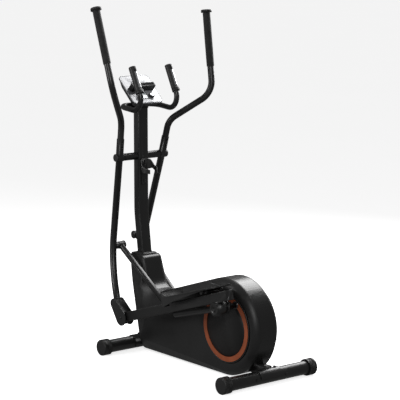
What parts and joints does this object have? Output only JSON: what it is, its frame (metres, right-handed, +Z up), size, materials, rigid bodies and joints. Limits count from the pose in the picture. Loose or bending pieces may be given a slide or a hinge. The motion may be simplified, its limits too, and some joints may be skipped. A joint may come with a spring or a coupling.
{
  "type": "elliptical trainer",
  "caption": "Elliptical trainer with swing arms, foot bars and pedals on a rear crank, a belt-driven flywheel in a narrow housing, a mast with a console, and a bottle cage",
  "frame": {"origin": "on the floor, under the centre of the whole machine's bounding box", "axes": "+X to the user's right, +Y the way the user faces, +Z up"},
  "size_m": [0.58, 1.093, 1.6149],
  "materials": {
    "frame_paint": "satin black paint",
    "band_gloss": "piano black gloss",
    "shell_plastic": "fine satin black",
    "disc_plastic": "satin black",
    "accent": "copper orange satin",
    "cap_plastic": "satin black",
    "pedal_plastic": "textured black",
    "foam": "closed cell foam",
    "pulse_metal": "polished",
    "steel": "zinc plated",
    "iron": "machined rim",
    "pulley_metal": "turned",
    "belt_rubber": "ribbed belt",
    "console_silver": "silver grey",
    "dial_plastic": "dark satin",
    "screen": "pale display window"
  },
  "bodies": {
    "root": {"base_frame": "frame_paint", "rear_stabiliser": "frame_paint", "front_stabiliser": "frame_paint", "stabiliser_caps": "cap_plastic", "frame_bolts": "steel", "mast": "frame_paint", "centre_band": "band_gloss", "neck_collar": "shell_plastic", "left_shell": "shell_plastic", "right_shell": "shell_plastic", "crank_bearings": "steel", "drive_belt": "belt_rubber", "idler_arm": "frame_paint", "brake_pin": "steel", "tension_motor": "frame_paint", "cross_tube": "frame_paint", "swing_axle": "steel", "swing_axle_caps": "cap_plastic", "fixed_handlebar": "frame_paint", "pulse_grips": "foam", "pulse_plates": "pulse_metal", "console_face": "console_silver", "console_shell": "cap_plastic", "display_window": "screen", "device_ledge": "cap_plastic", "bottle_cage": "cap_plastic"},
    "crank": {"crank_axle": "steel", "crank_pulley": "pulley_metal", "left_crank_disc": "disc_plastic", "right_crank_disc": "disc_plastic", "crank_arms": "frame_paint", "disc_rings": "accent"},
    "flywheel": {"flywheel": "iron", "flywheel_axle": "steel"},
    "idler": {"idler_wheel": "pulley_metal"},
    "brake": {"brake_yoke": "frame_paint", "brake_magnets": "pulley_metal"},
    "dial": {"console_dial": "dial_plastic"},
    "left_arm": {"left_lower_arm": "frame_paint", "left_handlebar": "frame_paint", "left_foam_grip": "foam", "left_grip_cap": "cap_plastic", "left_arm_bolts": "steel", "left_pivot_cover": "shell_plastic"},
    "left_bar": {"left_foot_bar": "frame_paint", "left_crank_pin": "steel"},
    "left_foot": {"left_pedal": "pedal_plastic", "left_pedal_bracket": "frame_paint"},
    "left_rod": {"left_link": "frame_paint"},
    "right_arm": {"right_lower_arm": "frame_paint", "right_handlebar": "frame_paint", "right_foam_grip": "foam", "right_grip_cap": "cap_plastic", "right_arm_bolts": "steel", "right_pivot_cover": "shell_plastic"},
    "right_bar": {"right_foot_bar": "frame_paint", "right_crank_pin": "steel"},
    "right_foot": {"right_pedal": "pedal_plastic", "right_pedal_bracket": "frame_paint"},
    "right_rod": {"right_link": "frame_paint"}
  },
  "joints": [
    {"name": "crank_spin", "type": "hinge", "parent": "root", "child": "crank", "pos_m": [0, -0.32197, 0.227], "axis": [1, 0, 0], "continuous": true},
    {"name": "flywheel_spin", "type": "hinge", "parent": "root", "child": "flywheel", "pos_m": [0, 0.01103, 0.2], "axis": [1, 0, 0], "continuous": true},
    {"name": "idler_spin", "type": "hinge", "parent": "root", "child": "idler", "pos_m": [0, -0.08213, 0.28446], "axis": [1, 0, 0], "continuous": true},
    {"name": "brake_swing", "type": "hinge", "parent": "root", "child": "brake", "pos_m": [0, 0.07091, 0.10417], "axis": [1, 0, 0], "range_deg": [-8, 0]},
    {"name": "dial_turn", "type": "hinge", "parent": "root", "child": "dial", "pos_m": [0.034, 0.34912, 1.19331], "axis": [0, -0.682, 0.7314], "range_deg": [-140, 140]},
    {"name": "left_arm_swing", "type": "hinge", "parent": "root", "child": "left_arm", "pos_m": [0, 0.38503, 0.913], "axis": [1, 0, 0], "range_deg": [-3.7, 17]},
    {"name": "right_arm_swing", "type": "hinge", "parent": "root", "child": "right_arm", "pos_m": [0, 0.38503, 0.913], "axis": [1, 0, 0], "range_deg": [-15.6, 3.5]},
    {"name": "left_bar_swing", "type": "hinge", "parent": "left_arm", "child": "left_bar", "pos_m": [0, 0.27928, 0.18251], "axis": [1, 0, 0], "range_deg": [-6.5, 1.49]},
    {"name": "left_foot_pitch", "type": "hinge", "parent": "left_bar", "child": "left_foot", "pos_m": [0, -0.33968, 0.40806], "axis": [1, 0, 0], "range_deg": [-3.34, 0.8]},
    {"name": "left_rod_swing", "type": "hinge", "parent": "left_arm", "child": "left_rod", "pos_m": [0, 0.4418, 0.48849], "axis": [1, 0, 0], "range_deg": [-0.36, 0.16]},
    {"name": "right_bar_swing", "type": "hinge", "parent": "right_arm", "child": "right_bar", "pos_m": [0, 0.43102, 0.17633], "axis": [1, 0, 0], "range_deg": [-1.48, 6.46]},
    {"name": "right_foot_pitch", "type": "hinge", "parent": "right_bar", "child": "right_foot", "pos_m": [0, -0.2276, 0.19074], "axis": [1, 0, 0], "range_deg": [-1.24, 5.33]},
    {"name": "right_rod_swing", "type": "hinge", "parent": "right_arm", "child": "right_rod", "pos_m": [0, 0.52748, 0.50909], "axis": [1, 0, 0], "range_deg": [-2.33, 0.59]}
  ],
  "couplings": [
    {"joint": "flywheel_spin", "follows": "crank_spin", "ratio": 7.2222},
    {"joint": "idler_spin", "follows": "crank_spin", "ratio": -7.6471},
    {"joint": "right_arm_swing", "follows": "left_arm_swing", "ratio": -0.9134},
    {"joint": "left_bar_swing", "follows": "left_arm_swing", "ratio": -0.3765},
    {"joint": "left_foot_pitch", "follows": "left_arm_swing", "ratio": -0.1905},
    {"joint": "left_rod_swing", "follows": "left_arm_swing", "ratio": -0.0154},
    {"joint": "right_bar_swing", "follows": "left_arm_swing", "ratio": 0.3739},
    {"joint": "right_foot_pitch", "follows": "left_arm_swing", "ratio": 0.3074},
    {"joint": "right_rod_swing", "follows": "left_arm_swing", "ratio": -0.1312}
  ]
}
